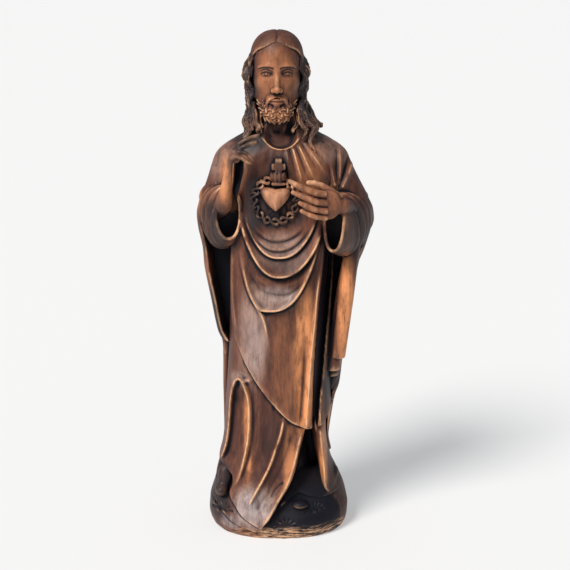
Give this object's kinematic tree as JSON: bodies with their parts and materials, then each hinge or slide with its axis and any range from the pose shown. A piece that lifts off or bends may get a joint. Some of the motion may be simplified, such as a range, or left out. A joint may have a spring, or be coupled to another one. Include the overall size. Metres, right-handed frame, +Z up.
{
  "type": "carved wooden statue of jesus",
  "caption": "Carved wooden devotional statue of a standing bearded man in a draped mantle, one hand raised and one at a heart in a ring of thorns, on a low mound.",
  "frame": {"origin": "middle of the flat underside of the mound", "axes": "+Z up, the figure faces -Y, +X towards the figure's left hand"},
  "size_m": [0.2449, 0.1804, 0.6997],
  "materials": {
    "wood": "dark stained and waxed, satin, worn lighter on the edges"
  },
  "bodies": {
    "root": {"statue": "wood"}
  },
  "joints": []
}
